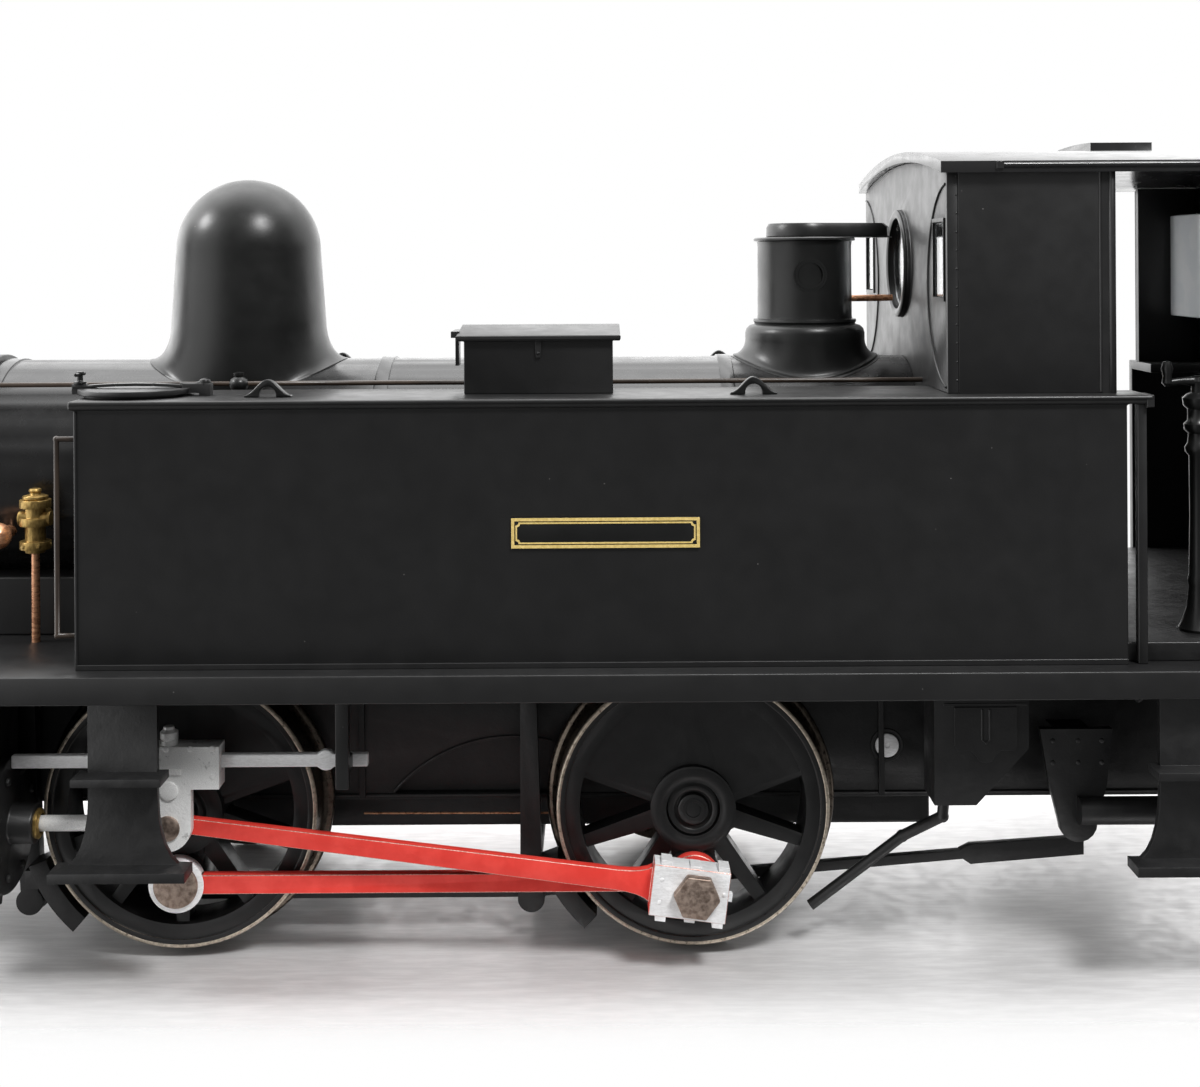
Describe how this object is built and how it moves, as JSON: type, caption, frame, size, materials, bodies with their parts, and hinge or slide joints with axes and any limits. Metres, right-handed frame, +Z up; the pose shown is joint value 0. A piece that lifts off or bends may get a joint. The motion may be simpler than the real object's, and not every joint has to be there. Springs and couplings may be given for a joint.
{
  "type": "four-wheeled side-tank dock shunting locomotive, 4 mm to the foot model",
  "caption": "Model of a small outside-cylinder side-tank steam dock locomotive with turning wheels, coupling rods, sliding crossheads and swinging connecting rods.",
  "frame": {"origin": "on the surface under the wheels, at the middle of the length over the buffers and on the centre line", "axes": "+X towards the rear of the engine, +Y to its right side, +Z up; the front buffers point to -X"},
  "size_m": [0.1018, 0.032, 0.0465],
  "materials": {
    "body_black": "satin",
    "frame_black": "satin",
    "wheel_black": "satin",
    "tyre_steel": "brushed",
    "pin_steel": "worn",
    "rod_red": "satin",
    "crosshead_grey": "matt",
    "slide_bar_steel": "rough",
    "valve_brass": "satin",
    "pipe_copper": "satin",
    "plate_brass": "satin",
    "window_clear": "clear",
    "motor_steel": "plain",
    "buffer_metal": "satin",
    "rail_black": "satin"
  },
  "bodies": {
    "root": {"running_plate": "frame_black", "front_beam": "frame_black", "rear_beam": "frame_black", "chassis": "frame_black", "keeper_plate": "frame_black", "boiler": "body_black", "motor": "motor_steel", "smokebox": "body_black", "smokebox_door": "body_black", "chimney": "body_black", "dome": "body_black", "safety_valve": "body_black", "side_tank_left": "body_black", "side_tank_right": "body_black", "tank_fillers": "body_black", "toolbox": "body_black", "lifting_eyes": "body_black", "name_plates": "plate_brass", "cab_front": "body_black", "cab_side_left": "body_black", "cab_side_right": "body_black", "cab_rear": "body_black", "cab_roof": "body_black", "cab_floor": "body_black", "cab_posts": "body_black", "backhead": "body_black", "handbrake": "body_black", "cab_glazing": "window_clear", "cylinder_left": "body_black", "cylinder_right": "body_black", "slide_bar_left": "slide_bar_steel", "slide_bar_right": "slide_bar_steel", "motion_brackets": "frame_black", "footsteps": "frame_black", "front_buffers": "buffer_metal", "rear_buffers": "buffer_metal", "couplings": "body_black", "handrails": "rail_black", "clack_valves": "valve_brass", "feed_pipes": "pipe_copper", "brake_gear": "frame_black", "brake_rods": "frame_black", "sandboxes": "frame_black"},
    "driving_wheelset": {"driving_wheels": "wheel_black", "driving_tyres": "tyre_steel", "driving_axle": "pin_steel"},
    "leading_wheelset": {"leading_wheels": "wheel_black", "leading_tyres": "tyre_steel", "leading_axle": "pin_steel"},
    "left_coupling": {"coupling_rod_left": "rod_red"},
    "right_coupling": {"coupling_rod_right": "rod_red"},
    "left_crosshead": {"crosshead_left": "crosshead_grey"},
    "right_crosshead": {"crosshead_right": "crosshead_grey"},
    "left_connecting": {"connecting_rod_left": "rod_red", "crank_screw_left": "pin_steel"},
    "right_connecting": {"connecting_rod_right": "rod_red", "crank_screw_right": "pin_steel"}
  },
  "joints": [
    {"name": "driving_spin", "type": "hinge", "parent": "root", "child": "driving_wheelset", "pos_m": [0.0075, 0, 0.00805], "axis": [0, 1, 0], "continuous": true},
    {"name": "leading_spin", "type": "hinge", "parent": "root", "child": "leading_wheelset", "pos_m": [-0.0205, 0, 0.00805], "axis": [0, 1, 0], "continuous": true},
    {"name": "left_coupling_pin", "type": "hinge", "parent": "driving_wheelset", "child": "left_coupling", "pos_m": [0.0075, -0.01057, 0.00438], "axis": [0, 1, 0], "continuous": true},
    {"name": "right_coupling_pin", "type": "hinge", "parent": "driving_wheelset", "child": "right_coupling", "pos_m": [0.01117, 0.01057, 0.00805], "axis": [0, 1, 0], "continuous": true},
    {"name": "left_crosshead_slide", "type": "slide", "parent": "root", "child": "left_crosshead", "axis": [1, 0, 0], "range_m": [-0.00391, 0.00343]},
    {"name": "right_crosshead_slide", "type": "slide", "parent": "root", "child": "right_crosshead", "axis": [1, 0, 0], "range_m": [-0.00734, 0]},
    {"name": "left_small_end", "type": "hinge", "parent": "left_crosshead", "child": "left_connecting", "pos_m": [-0.0205, -0.01175, 0.00805], "axis": [0, -1, 0], "range_deg": [0, 14.94]},
    {"name": "right_small_end", "type": "hinge", "parent": "right_crosshead", "child": "right_connecting", "pos_m": [-0.01707, 0.01175, 0.00805], "axis": [0, -1, 0], "range_deg": [-7.47, 7.47]}
  ],
  "couplings": [
    {"joint": "leading_spin", "follows": "driving_spin", "ratio": 1},
    {"joint": "left_coupling_pin", "follows": "driving_spin", "ratio": -1},
    {"joint": "right_coupling_pin", "follows": "driving_spin", "ratio": -1}
  ]
}
